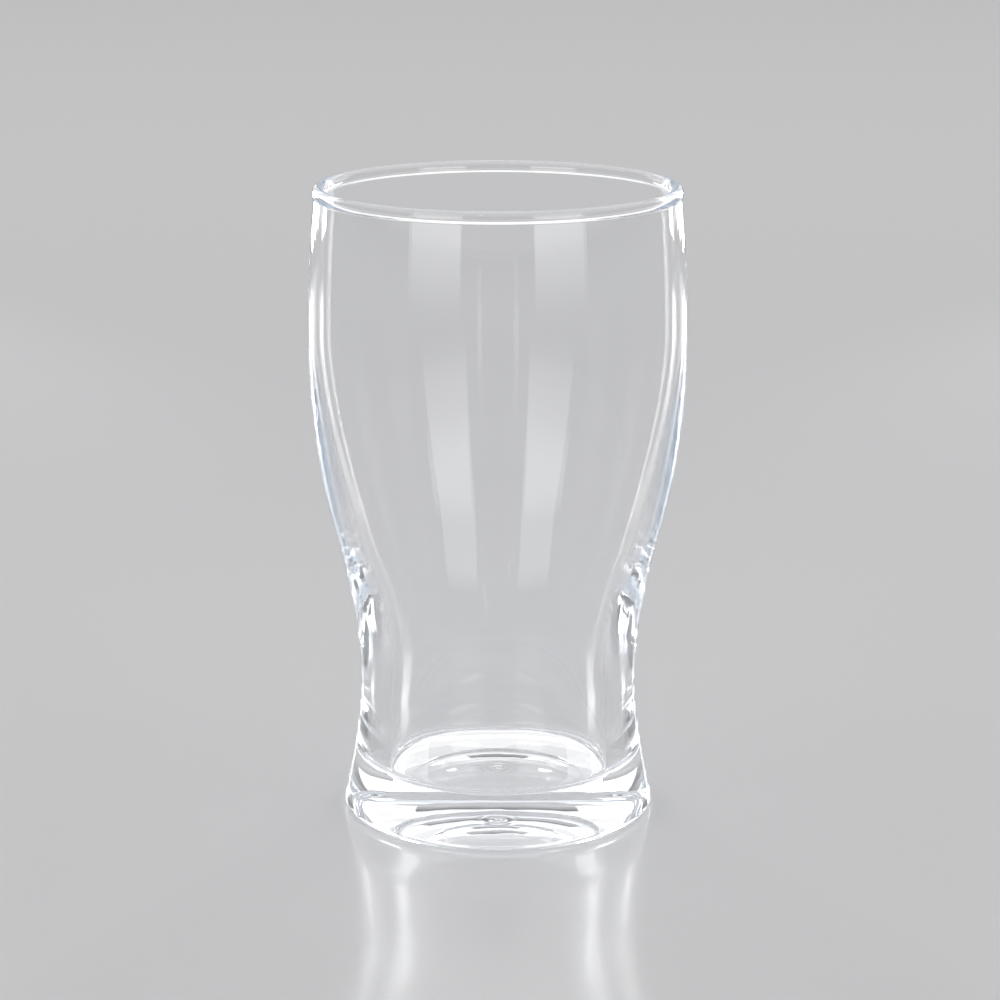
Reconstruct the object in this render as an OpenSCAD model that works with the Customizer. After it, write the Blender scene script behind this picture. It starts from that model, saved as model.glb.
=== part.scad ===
// Tulip beer glass: one turned piece of clear glass with a heavy foot, a narrow waist,
// a wide bowl and a rounded rim bead. It stands on the ring round its hollow underside.
// Origin: centre of the foot at table height, +Z up the axis. Millimetres.

/* [Overall] */
// Height from the table to the top of the rim
glass_h = 152; // [140:0.5:180]

/* [Foot] */
// Diameter of the foot just above its rounded edge
foot_d = 74.8; // [70:0.1:82]
// Radius of the rounded edge at the bottom of the foot
foot_edge_r = 1.8; // [0.8:0.1:3.5]
// How fast the foot draws in above its edge, mm inwards per mm up
foot_taper = 0.17; // [0.05:0.01:0.3]
// Width of the flat ring that the glass stands on
ring_w = 2.6; // [1:0.1:6]
// Depth of the hollow under the base, at the axis
punt_h = 4; // [0.5:0.1:5]

/* [Outside] */
// Outside diameter at the waist
waist_d = 66.5; // [62:0.1:72]
// Height of the waist above the table
waist_z = 32; // [24:0.5:45]
// Outside diameter where the bowl widens fastest
shoulder_d = 78.6; // [74:0.1:84]
// Height where the bowl widens fastest
shoulder_z = 70.5; // [60:0.5:80]
// How fast the bowl widens there outside, mm outwards per mm up
shoulder_flare = 0.27; // [0.15:0.01:0.35]
// Outside diameter at the widest part of the bowl
belly_d = 89.8; // [86:0.1:98]
// Height of the widest part of the bowl
belly_z = 117.5; // [105:0.5:125]
// Outside diameter of the wall where it enters the rim bead
mouth_d = 86.2; // [80:0.1:90]
// How fast the wall draws in below the rim, mm inwards per mm up
mouth_taper = 0.095; // [0:0.005:0.15]

/* [Inside] */
// Thickness of the wall at the rim
rim_wall = 2.4; // [1.6:0.1:3]
// Thickness of the wall at the widest part of the bowl
belly_wall = 2.5; // [1.6:0.1:4]
// Thickness of the wall at the shoulder
shoulder_wall = 4.6; // [3:0.1:6]
// How fast the inside widens at the shoulder, mm outwards per mm up
inner_flare = 0.31; // [0.15:0.01:0.35]
// Inside diameter at the waist, where the well begins
well_d = 51.6; // [44:0.1:56]
// Inside diameter at the foot of the well, just above its rounded corner
well_low_d = 53.4; // [50:0.1:56]
// Radius of the corner between the floor and the well wall
well_corner_r = 2.8; // [0.8:0.1:5]
// Height of the floor of the well above the table, at the edge of the floor
base_t = 10.4; // [8:0.1:16]
// How far the floor sinks from its edge to the axis
floor_dip = 1; // [0:0.1:2]

/* [Rim] */
// Thickness of the rounded bead along the rim
bead_d = 3.2; // [3:0.1:5]

/* [Quality] */
// Straight steps along each curved stretch of the outline
curve_steps = 14; // [8:1:24]
// Straight steps round each small corner
corner_steps = 6; // [4:1:12]

/* [Hidden] */

clear_glass = [0.86, 0.93, 0.95, 0.45];

foot_r = foot_d / 2;
waist_r = waist_d / 2;
shoulder_r = shoulder_d / 2;
belly_r = belly_d / 2;
mouth_r = mouth_d / 2;
well_r = well_d / 2;
well_low_r = well_low_d / 2;
bead_r = bead_d / 2;

// The bead is centred on the wall, and its top is the top of the glass.
bead_z = glass_h - bead_r;
bead_centre_r = mouth_r - rim_wall / 2;

// The rounded edge runs on into the taper of the foot without a crease.
foot_lean = atan(foot_taper);
foot_edge_top = foot_edge_r * (1 + sin(foot_lean));

// The flat ring lies between the rounded edge and the hollow underside.
ring_outer_r = foot_r - foot_edge_r * cos(foot_lean);
ring_inner_r = ring_outer_r - ring_w;

// The rounded corner of the well leaves the wall and meets the floor without a crease, so
// its angles follow the lean of the wall there and the slope of the dished floor.
well_spread = 2 * (well_low_r - well_r) / (waist_z - base_t - well_corner_r);
well_lean = atan(well_spread);
corner_centre_r = well_low_r - well_corner_r * cos(well_lean);
floor_slope = atan(2 * floor_dip / corner_centre_r);
corner_centre_z = base_t + well_corner_r * cos(floor_slope);
well_low_z = corner_centre_z + well_corner_r * sin(well_lean);
floor_edge_r = corner_centre_r + well_corner_r * sin(floor_slope);

// Radius at height z on a smooth curve through two stations. A station is
// [height, radius, slope], and the curve is the cubic that has both radii and both slopes.
function blend_r(a, b, z) =
    let (
        span = b[0] - a[0],
        t = (z - a[0]) / span,
        rise = t * t * (3 - 2 * t),
        leave = t * (1 - t) * (1 - t),
        arrive = t * t * (1 - t)
    )
    a[1] * (1 - rise) + b[1] * rise + span * (a[2] * leave - b[2] * arrive);

// Points [radius, height] from station a up to station b, without the point at a.
function curve_up(a, b) = [
    for (i = [1 : curve_steps])
        let (z = a[0] + (b[0] - a[0]) * i / curve_steps)
        [blend_r(a, b, z), z]
];

// The same points from b down to a, without the point at b.
function curve_down(a, b) = [
    for (i = [curve_steps - 1 : -1 : 0])
        let (z = a[0] + (b[0] - a[0]) * i / curve_steps)
        [blend_r(a, b, z), z]
];

// Points on a circular arc round [r, z], from angle from_a to angle to_a. With skip = 1
// the first point is left out, where the stretch before has already drawn it.
function arc(r, z, radius, from_a, to_a, skip) = [
    for (i = [skip : corner_steps])
        let (angle = from_a + (to_a - from_a) * i / corner_steps)
        [r + radius * cos(angle), z + radius * sin(angle)]
];

// Underside from the axis out to the flat ring: a shallow dome that meets the ring plane.
function punt_dome() = [
    for (i = [0 : curve_steps])
        let (share = i / curve_steps)
        [ring_inner_r * share, punt_h * (1 - share * share)]
];

// Floor of the well from its edge in to the axis: a shallow dish.
function floor_dish() = [
    for (i = [curve_steps - 1 : -1 : 0])
        let (share = i / curve_steps)
        [floor_edge_r * share, base_t - floor_dip * (1 - share * share)]
];

// Outside stations, from the foot up to the bead.
out_foot = [foot_edge_top, foot_r, -foot_taper];
out_waist = [waist_z, waist_r, 0];
out_shoulder = [shoulder_z, shoulder_r, shoulder_flare];
out_belly = [belly_z, belly_r, 0];
out_mouth = [bead_z, mouth_r, -mouth_taper];

// Inside stations, from the foot of the well up to the bead. Each one above the well
// follows the outside by the thickness of the wall there.
in_low = [well_low_z, well_low_r, -well_spread];
in_well = [waist_z, well_r, 0];
in_shoulder = [shoulder_z, shoulder_r - shoulder_wall, inner_flare];
in_belly = [belly_z, belly_r - belly_wall, 0];
in_mouth = [bead_z, mouth_r - rim_wall, -mouth_taper];

// Half section of the glass below the bead, drawn anticlockwise from the axis.
module wall_section() {
    polygon(concat(
        punt_dome(),
        arc(ring_outer_r, foot_edge_r, foot_edge_r, -90, foot_lean, 0),
        curve_up(out_foot, out_waist),
        curve_up(out_waist, out_shoulder),
        curve_up(out_shoulder, out_belly),
        curve_up(out_belly, out_mouth),
        [[in_mouth[1], in_mouth[0]]],
        curve_down(in_belly, in_mouth),
        curve_down(in_shoulder, in_belly),
        curve_down(in_well, in_shoulder),
        curve_down(in_low, in_well),
        arc(corner_centre_r, corner_centre_z, well_corner_r, well_lean, floor_slope - 90, 1),
        floor_dish()
    ));
}

// The whole glass: the half section and the round bead, turned about the axis.
module tulip_glass() {
    color(clear_glass)
    rotate_extrude($fn = 180)
    union() {
        wall_section();
        translate([bead_centre_r, bead_z])
        circle(d = bead_d, $fn = 48);
    }
}

tulip_glass();
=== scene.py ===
# Tulip beer glass: the finish of the one turned piece, and the plain studio round it.
import math

import bpy
import numpy as np
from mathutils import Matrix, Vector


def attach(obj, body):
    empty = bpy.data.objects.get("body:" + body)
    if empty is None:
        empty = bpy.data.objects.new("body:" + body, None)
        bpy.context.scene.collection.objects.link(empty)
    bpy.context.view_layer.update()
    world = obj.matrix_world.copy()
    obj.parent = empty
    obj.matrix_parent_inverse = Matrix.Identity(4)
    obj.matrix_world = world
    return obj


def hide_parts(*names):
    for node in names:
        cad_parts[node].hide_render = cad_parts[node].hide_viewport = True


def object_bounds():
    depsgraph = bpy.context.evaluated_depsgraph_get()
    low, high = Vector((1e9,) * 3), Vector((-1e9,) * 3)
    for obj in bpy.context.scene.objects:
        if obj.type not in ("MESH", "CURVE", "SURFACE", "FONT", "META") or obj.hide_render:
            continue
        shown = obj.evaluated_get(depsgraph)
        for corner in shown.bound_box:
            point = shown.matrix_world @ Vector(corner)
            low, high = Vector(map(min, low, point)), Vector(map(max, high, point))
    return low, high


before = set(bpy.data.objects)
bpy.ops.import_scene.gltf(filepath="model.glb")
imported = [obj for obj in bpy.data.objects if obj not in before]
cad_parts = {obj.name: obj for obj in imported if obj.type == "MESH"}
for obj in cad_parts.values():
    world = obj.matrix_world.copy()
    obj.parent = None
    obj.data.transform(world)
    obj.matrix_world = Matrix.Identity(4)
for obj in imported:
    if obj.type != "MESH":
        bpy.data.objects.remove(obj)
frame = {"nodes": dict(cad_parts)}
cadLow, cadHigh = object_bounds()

print("frame loaded:", ", ".join(frame["nodes"]))

mm = 0.001  # every size below is in millimetres, and the scene is in metres


def mix(low, high, share):
    return low + (high - low) * share


def addObject(name, data):
    piece = bpy.data.objects.new(name, data)
    bpy.context.collection.objects.link(piece)
    return piece


def setInputs(node, values):
    for socket, value in values.items():
        node.inputs[socket].default_value = value


# The glass. The sizes are those of the frame's own section, and the marks, the waves and
# the soft run of the bead into the wall are extra.
glass = {
    "node": "tulip_glass",
    "height": (cadHigh.z - cadLow.z) / mm,
    "footRadius": 37.4,
    "footEdge": 1.8,
    "footTaper": 0.17,
    "ringWidth": 2.6,
    "puntHeight": 4.0,
    "waistRadius": 33.25,
    "waistZ": 32.0,
    "shoulderRadius": 39.3,
    "shoulderZ": 70.5,
    "shoulderFlare": 0.27,
    "bellyRadius": (cadHigh.x - cadLow.x) / 2 / mm,
    "bellyZ": 117.5,
    "mouthRadius": 43.1,
    "mouthTaper": 0.095,
    "rimWall": 2.4,
    "bellyWall": 2.5,
    "shoulderWall": 4.6,
    "innerFlare": 0.31,
    "wellRadius": 25.8,
    "wellLowRadius": 26.7,
    "wellCorner": 2.8,
    "baseThickness": 10.4,
    "floorDip": 1.0,
    "markRadius": 5.0,  # the faint rings in the middle of the hollow underside
    "markSpacing": 2.0,
    "markDepth": 0.05,
    "waveLow": 14.0,  # the slow waves of the inner wall where the glass is thick
    "wavePeak": 52.0,
    "waveHigh": 84.0,
    "waveDepth": 0.05,
    "waves": (  # share of the depth, waves round the glass, lean per mm up, start
        (0.45, 5, 0.06, 0.7),
        (0.33, 9, -0.05, 2.1),
        (0.22, 16, 0.11, 4.0),
    ),
    "beadDiameter": 3.2,
    "beadBlend": 0.3,  # how softly the bead runs into the wall
    "beadReach": 1.6,  # close rows start this many bead radii below the bead's centre
    "rowsPerSpan": 34,
    "rowsPerArc": 12,
    "rowsFlat": 14,
    "rowsMark": 24,
    "rowsNearBead": 22,
    "rowsOverBead": 28,
    "segments": 224,
}


def blendStations(a, b, z):
    # cubic through two stations (height, radius, slope) that has both radii and both slopes
    span = b[0] - a[0]
    t = (z - a[0]) / span
    rise = t * t * (3 - 2 * t)
    return a[1] * (1 - rise) + b[1] * rise + span * (a[2] * t * (1 - t) ** 2 - b[2] * t * t * (1 - t))


def wallRadius(stations, z):
    # the cubic of whichever span holds each height
    radius = np.zeros_like(z)
    for a, b in zip(stations, stations[1:]):
        inside = (z >= a[0]) & (z <= b[0])
        radius[inside] = blendStations(a, b, z[inside])
    return radius


def arcPoints(r, z, radius, fromAngle, toAngle, count):
    # points of a circle round (r, z), from one angle to the other, in degrees
    angle = np.radians(np.linspace(fromAngle, toAngle, count + 1))
    return np.stack([r + radius * np.cos(angle), z + radius * np.sin(angle)], 1)


def glassSection(g):
    # half section as (radius, height) rows: from the axis out along the hollow underside and
    # the flat ring, up the outside, over the bead, down the inside and along the floor of the
    # well back to the axis; also the row where the inside starts
    edgeAngle = math.degrees(math.atan(g["footTaper"]))
    ringOuter = g["footRadius"] - g["footEdge"] * math.cos(math.radians(edgeAngle))
    cornerTop = g["waistZ"] - g["baseThickness"] - g["wellCorner"]
    spread = 2 * (g["wellLowRadius"] - g["wellRadius"]) / cornerTop
    lean = math.atan(spread)
    cornerR = g["wellLowRadius"] - g["wellCorner"] * math.cos(lean)
    slope = math.atan(2 * g["floorDip"] / cornerR)
    cornerZ = g["baseThickness"] + g["wellCorner"] * math.cos(slope)
    lowZ = cornerZ + g["wellCorner"] * math.sin(lean)
    ringInner = ringOuter - g["ringWidth"]
    beadRadius = g["beadDiameter"] / 2
    beadZ = g["height"] - beadRadius
    beadCentre = g["mouthRadius"] - g["rimWall"] / 2
    footTop = g["footEdge"] * (1 + math.sin(math.radians(edgeAngle)))
    outer = [
        (footTop, g["footRadius"], -g["footTaper"]),
        (g["waistZ"], g["waistRadius"], 0),
        (g["shoulderZ"], g["shoulderRadius"], g["shoulderFlare"]),
        (g["bellyZ"], g["bellyRadius"], 0),
        (beadZ, g["mouthRadius"], -g["mouthTaper"]),
    ]
    inner = [
        (lowZ, g["wellLowRadius"], -spread),
        (g["waistZ"], g["wellRadius"], 0),
        (g["shoulderZ"], g["shoulderRadius"] - g["shoulderWall"], g["innerFlare"]),
        (g["bellyZ"], g["bellyRadius"] - g["bellyWall"], 0),
        (beadZ, g["mouthRadius"] - g["rimWall"], -g["mouthTaper"]),
    ]

    def bulge(z):
        # how far the bead stands proud of the wall at height z: the larger of half the wall
        # and the half chord of the bead, rounded where the two meet, less half the wall
        wall = g["rimWall"] / 2
        bead = np.sqrt(np.maximum(beadRadius**2 - (z - beadZ) ** 2, 0))
        near = np.maximum(g["beadBlend"] - np.abs(wall - bead), 0)
        return np.maximum(wall, bead) + near**2 / (4 * g["beadBlend"]) - wall

    def spanHeights(stations):
        # even steps between the stations, and closer ones from just below the bead
        spans = zip(stations, stations[1:])
        heights = np.concatenate([np.linspace(a[0], b[0], g["rowsPerSpan"] + 1)[1:] for a, b in spans])
        near = beadZ - beadRadius * np.linspace(g["beadReach"], 0, g["rowsNearBead"])
        return np.concatenate([heights[heights < near[0]], near])

    # The hollow is a parabola, less the marks: a cosine of the radius that fades outwards
    share = np.linspace(0, 1, g["rowsPerSpan"] + 1)
    markR = np.linspace(0, g["markRadius"], g["rowsMark"])[:-1]
    puntR = np.concatenate([markR, mix(g["markRadius"], ringInner, share)])
    puntZ = g["puntHeight"] * (1 - (puntR / ringInner) ** 2)
    near = np.clip(1 - puntR / g["markRadius"], 0, 1)
    puntZ = puntZ - g["markDepth"] * near * (1 + np.cos(puntR * 2 * np.pi / g["markSpacing"]))
    punt = np.stack([puntR, puntZ], 1)
    across = share[4:-1:6]  # five rows of the flat ring
    ring = np.stack([mix(ringInner, ringOuter, across), 0 * across], 1)
    edge = arcPoints(ringOuter, g["footEdge"], g["footEdge"], -90, edgeAngle, g["rowsPerArc"])
    outZ = spanHeights(outer)
    outside = np.stack([wallRadius(outer, outZ) + bulge(outZ), outZ], 1)
    bead = arcPoints(beadCentre, beadZ, beadRadius, 0, 180, g["rowsOverBead"])[1:]
    inZ = spanHeights(inner)[::-1]
    inside = np.stack([wallRadius(inner, inZ) - bulge(inZ), inZ], 1)[1:]
    corner = arcPoints(
        cornerR, cornerZ, g["wellCorner"], math.degrees(lean), math.degrees(slope) - 90, g["rowsPerArc"]
    )
    floorEdge = cornerR + g["wellCorner"] * math.sin(slope)
    inward = np.linspace(1, 0, g["rowsFlat"])[1:]
    floor = np.stack([floorEdge * inward, g["baseThickness"] - g["floorDip"] * (1 - inward**2)], 1)
    section = np.concatenate([punt, ring, edge, outside, bead, inside, corner, floor])
    return section, len(section) - len(floor) - len(corner) - len(inside)


def innerWaves(g, section, innerRow, turn):
    # radius added at each row and angle: a sum of cosines round the inner wall, which lean a
    # little with height, times a hump that fades out above and below the thick part of the wall
    z = section[:, 1]
    up = np.clip((z - g["waveLow"]) / (g["wavePeak"] - g["waveLow"]), 0, 1)
    down = np.clip((g["waveHigh"] - z) / (g["waveHigh"] - g["wavePeak"]), 0, 1)
    hump = np.minimum(up, down) ** 2 * (3 - 2 * np.minimum(up, down))
    hump[:innerRow] = 0
    z = z[:, None]
    waves = sum(part * np.cos(count * turn + lean * z + start) for part, count, lean, start in g["waves"])
    return g["waveDepth"] * hump[:, None] * waves


def turnedMesh(name, g):
    # each row of the section is carried round the axis, its points at radius times cosine and
    # sine of the turn; the first and last rows are on the axis, and each closes with a fan
    section, innerRow = glassSection(g)
    segments = g["segments"]
    turn = np.arange(segments) * 2 * np.pi / segments
    rows = section[1:-1] * mm
    around = np.stack([np.cos(turn), np.sin(turn)], 1)
    radius = rows[:, :1] + innerWaves(g, section, innerRow, turn)[1:-1] * mm
    sides = radius[:, :, None] * around[None]
    heights = np.repeat(rows[:, None, 1:], segments, 1)
    points = np.concatenate([sides, heights], 2).reshape(-1, 3)
    poles = np.array([[0, 0, section[0, 1]], [0, 0, section[-1, 1]]]) * mm
    points = np.concatenate([points, poles])
    k = np.arange(segments)
    after = (k + 1) % segments
    low = np.arange(len(rows) - 1)[:, None] * segments
    quads = np.stack([low + k, low + after, low + after + segments, low + k + segments], 2).reshape(-1, 4)
    under, top = len(points) - 2, len(points) - 1
    last = (len(rows) - 1) * segments
    fanLow = np.stack([np.full(segments, under), after, k], 1)
    fanTop = np.stack([np.full(segments, top), last + k, last + after], 1)
    mesh = bpy.data.meshes.new(name)
    mesh.from_pydata(points.tolist(), [], quads.tolist() + fanLow.tolist() + fanTop.tolist())
    mesh.polygons.foreach_set("use_smooth", np.ones(len(mesh.polygons), bool))
    mesh.validate()
    mesh.update()
    return mesh


# The finish of the glass
clear = {
    "ior": 1.52,
    "roughness": 0.0,
    "tints": {0.35: (0.990, 0.993, 1.0), 0.65: (0.997, 0.997, 0.998)},  # colour by noise
    "absorbColour": (0.88, 0.92, 0.96),
    "absorbDensity": 6.0,
    "grain": (95, 95, 26),  # drawn out upwards, as glass flows in the mould
    "grainDetail": 1.5,
    "grainDistortion": 0.4,
    "grainDepth": 0.06 * mm,
    "thickBelow": (58 * mm, 92 * mm),  # the waves fade out over these heights
    "bowlShare": 0.01,  # what is left of them above
}


def clearGlass(c):
    material = bpy.data.materials.new("clearGlass")
    material.use_nodes = True
    nodes, links = material.node_tree.nodes, material.node_tree.links
    shader = nodes["Principled BSDF"]
    setInputs(shader, {"Roughness": c["roughness"], "IOR": c["ior"], "Transmission Weight": 1.0})

    # Slow uneven waves in the skin of the glass, strong in the thick foot and waist
    where = nodes.new("ShaderNodeTexCoord")
    stretch = nodes.new("ShaderNodeMapping")
    setInputs(stretch, {"Scale": c["grain"]})
    links.new(where.outputs["Object"], stretch.inputs["Vector"])
    grain = nodes.new("ShaderNodeTexNoise")
    setInputs(grain, {"Scale": 1.0, "Detail": c["grainDetail"], "Distortion": c["grainDistortion"]})
    links.new(stretch.outputs[0], grain.inputs["Vector"])
    split = nodes.new("ShaderNodeSeparateXYZ")
    links.new(where.outputs["Object"], split.inputs[0])
    fade = nodes.new("ShaderNodeMapRange")
    fade.interpolation_type = "SMOOTHSTEP"
    low, high = c["thickBelow"]
    setInputs(fade, {"From Min": low, "From Max": high, "To Min": 1.0, "To Max": c["bowlShare"]})
    links.new(split.outputs["Z"], fade.inputs["Value"])
    bump = nodes.new("ShaderNodeBump")
    setInputs(bump, {"Distance": c["grainDepth"]})
    links.new(fade.outputs["Result"], bump.inputs["Strength"])
    links.new(grain.outputs[0], bump.inputs["Height"])
    links.new(bump.outputs[0], shader.inputs["Normal"])

    # A hardly visible drift between a cool and a neutral tint
    tint = nodes.new("ShaderNodeValToRGB")
    for stop, (position, colour) in zip(tint.color_ramp.elements, c["tints"].items()):
        stop.position = position
        stop.color = (*colour, 1)
    links.new(grain.outputs[0], tint.inputs[0])
    links.new(tint.outputs[0], shader.inputs["Base Color"])

    # A faint blue-grey through the thickness
    volume = nodes.new("ShaderNodeVolumeAbsorption")
    setInputs(volume, {"Color": (*c["absorbColour"], 1), "Density": c["absorbDensity"]})
    links.new(volume.outputs[0], nodes["Material Output"].inputs["Volume"])
    return material


tulip = addObject("tulip_glass_body", turnedMesh("tulip_glass_body", glass))
tulip.data.materials.append(clearGlass(clear))
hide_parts(glass["node"])
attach(tulip, "root")
print("glass turned:", len(tulip.data.polygons), "faces")


# The studio: a pale floor with a thin gloss, one wide lamp above, and lamps round the glass.
# A lamp of the round has its angle from straight behind the glass and stands on both sides,
# unless that angle is 0. Only the glass takes its light, so that the floor stays plain, but
# for the lamps that the floor has to mirror.
studio = {
    "floor": {
        "radius": 14.0,
        "drop": 0.00005,
        "sides": 96,
        "colour": (0.68, 0.68, 0.69),
        "roughness": 0.6,
        "gloss": 0.6,
        "glossRoughness": 0.15,
    },
    "above": {"place": (0, 0.3, 2.2), "aim": (0, 0.3, 0), "size": (6.0, 6.0), "brightness": 0.80},
    "round": {
        "back": {"angle": 0, "distance": 0.85, "height": 0.49, "aim": 0.05,
                 "size": (0.70, 0.26), "brightness": 0.85},
        "inner": {"angle": 18, "distance": 1.00, "height": 0.29, "aim": 0.05,
                  "size": (0.28, 0.34), "brightness": 0.85},
        "wing": {"angle": 38, "distance": 0.90, "height": 0.43, "aim": 0.05,
                 "size": (0.55, 0.42), "brightness": 1.0},
        "edge": {"angle": 24, "distance": 0.85, "height": 0.17, "aim": 0.17,
                 "size": (0.10, 0.30), "brightness": 26, "spread": 50, "mirrored": True},
        "front": {"angle": 142, "distance": 0.94, "height": 0.325, "aim": 0.325,
                  "size": (0.54, 0.64), "brightness": 2.2, "fade": 0.32},
    },
    "surroundings": {0: 0.62, 0.16: 0.60, 0.36: 0.22, 1: 0.22},  # grey by height
    "coolness": 1.01,  # blue of the surroundings, as a share of their grey
}


def paleFloor(f):
    # a round floor just under the glass, matt with a thin gloss over it
    material = bpy.data.materials.new("paleFloor")
    material.use_nodes = True
    shader = material.node_tree.nodes["Principled BSDF"]
    setInputs(shader, {"Base Color": (*f["colour"], 1), "Roughness": f["roughness"]})
    setInputs(shader, {"Coat Weight": f["gloss"], "Coat Roughness": f["glossRoughness"]})
    setInputs(shader, {"Specular IOR Level": 0.0})
    turn = np.linspace(0, 2 * np.pi, f["sides"] + 1)[:-1]
    rim = np.stack([np.cos(turn), np.sin(turn), 0 * turn], 1) * f["radius"]
    rim[:, 2] = -f["drop"]
    mesh = bpy.data.meshes.new("floor")
    mesh.from_pydata(rim.tolist(), [], [list(range(len(turn)))])
    mesh.materials.append(material)
    floor = addObject("floor", mesh)


def fadeEdges(light, fade):
    # the face dims softly towards its upper and lower edges, over this share of its height
    light.use_nodes = True
    nodes, links = light.node_tree.nodes, light.node_tree.links
    face = nodes.new("ShaderNodeNewGeometry")
    split = nodes.new("ShaderNodeSeparateXYZ")
    links.new(face.outputs["Parametric"], split.inputs[0])
    fromMiddle = nodes.new("ShaderNodeMath")
    fromMiddle.operation = "SUBTRACT"
    setInputs(fromMiddle, {1: 0.5})
    links.new(split.outputs["Y"], fromMiddle.inputs[0])
    off = nodes.new("ShaderNodeMath")
    off.operation = "ABSOLUTE"
    links.new(fromMiddle.outputs[0], off.inputs[0])
    dim = nodes.new("ShaderNodeMapRange")
    dim.interpolation_type = "SMOOTHSTEP"
    setInputs(dim, {"From Min": 0.5 - fade, "From Max": 0.5, "To Min": 1, "To Max": 0})
    links.new(off.outputs[0], dim.inputs["Value"])
    links.new(dim.outputs["Result"], nodes["Emission"].inputs["Strength"])


def softLamp(name, place, aim, lamp):
    # the watts that give the face this brightness, seen square on, at the spread of its beam
    spread = lamp.get("spread", 180)
    half = math.radians(spread / 2)
    focus = 1 if spread == 180 else math.tan(half) / (math.tan(half) - half)
    light = bpy.data.lights.new(name, "AREA")
    light.shape = "RECTANGLE"
    light.size, light.size_y = lamp["size"]
    light.spread = math.radians(spread)
    light.energy = lamp["brightness"] * math.pi * light.size * light.size_y / focus
    if "fade" in lamp:
        fadeEdges(light, lamp["fade"])
    stand = addObject(name, light)
    stand.location = place
    along = np.array(aim) - np.array(place)
    level = math.hypot(along[0], along[1])
    stand.rotation_euler = (math.atan2(level, -along[2]), 0, math.atan2(-along[0], along[1]))
    return stand


def lightOnly(stand, piece):
    # the lamp lights this piece and nothing else
    only = bpy.data.collections.new(stand.name + "Only")
    only.objects.link(piece)
    stand.light_linking.receiver_collection = only


def lampsRound(lamps):
    # each lamp at its angle and distance from the axis, and its twin on the other side
    for name, lamp in lamps.items():
        away = math.radians(lamp["angle"])
        out, back = math.sin(away) * lamp["distance"], math.cos(away) * lamp["distance"]
        for side in (-1, 1) if lamp["angle"] else (0,):
            place = (side * out, back, lamp["height"])
            stand = softLamp(name + ("Left", "", "Right")[side + 1], place, (0, 0, lamp["aim"]), lamp)
            if not lamp.get("mirrored"):
                lightOnly(stand, tulip)


def studioWorld(greys, coolness):
    # the surroundings by height: pale near the horizon, dim above
    world = bpy.data.worlds.new("studioWorld")
    bpy.context.scene.world = world
    world.use_nodes = True
    nodes, links = world.node_tree.nodes, world.node_tree.links
    where = nodes.new("ShaderNodeTexCoord")
    split = nodes.new("ShaderNodeSeparateXYZ")
    ramp = nodes.new("ShaderNodeValToRGB")
    links.new(where.outputs["Generated"], split.inputs[0])
    links.new(split.outputs["Z"], ramp.inputs[0])
    stops = ramp.color_ramp.elements
    for height in sorted(greys)[1:-1]:
        stops.new(height)
    for stop, height in zip(stops, sorted(greys)):
        stop.color = (greys[height], greys[height], greys[height] * coolness, 1)
    links.new(ramp.outputs[0], nodes["Background"].inputs["Color"])


above = studio["above"]
softLamp("above", above["place"], above["aim"], above)
paleFloor(studio["floor"])
lampsRound(studio["round"])
studioWorld(studio["surroundings"], studio["coolness"])
print("studio lit:", len(bpy.data.lights), "lamps")

# The camera, solved from the photograph's rim and foot ellipses
view = {"place": (0.0005, -0.7362, 0.2576), "pitch": 90 - 13.86, "lens": 113.9, "sensor": 36, "nearest": 0.01}
lens = bpy.data.cameras.new("camera")
lens.sensor_width = view["sensor"]
lens.lens = view["lens"]
lens.clip_start = view["nearest"]
camera = addObject("camera", lens)
camera.location = view["place"]
camera.rotation_euler = (math.radians(view["pitch"]), 0, 0)

# Light runs a long way inside the thick wall before it comes out
bounces = {"most": 96, "through": 48, "mirrored": 96, "brightest": 8}
scene = bpy.context.scene
scene.camera = camera
scene.view_settings.view_transform = "Standard"
scene.cycles.max_bounces = bounces["most"]
scene.cycles.transmission_bounces = bounces["through"]
scene.cycles.glossy_bounces = bounces["mirrored"]
scene.cycles.sample_clamp_indirect = bounces["brightest"]
scene.cycles.blur_glossy = 0
print("camera set")
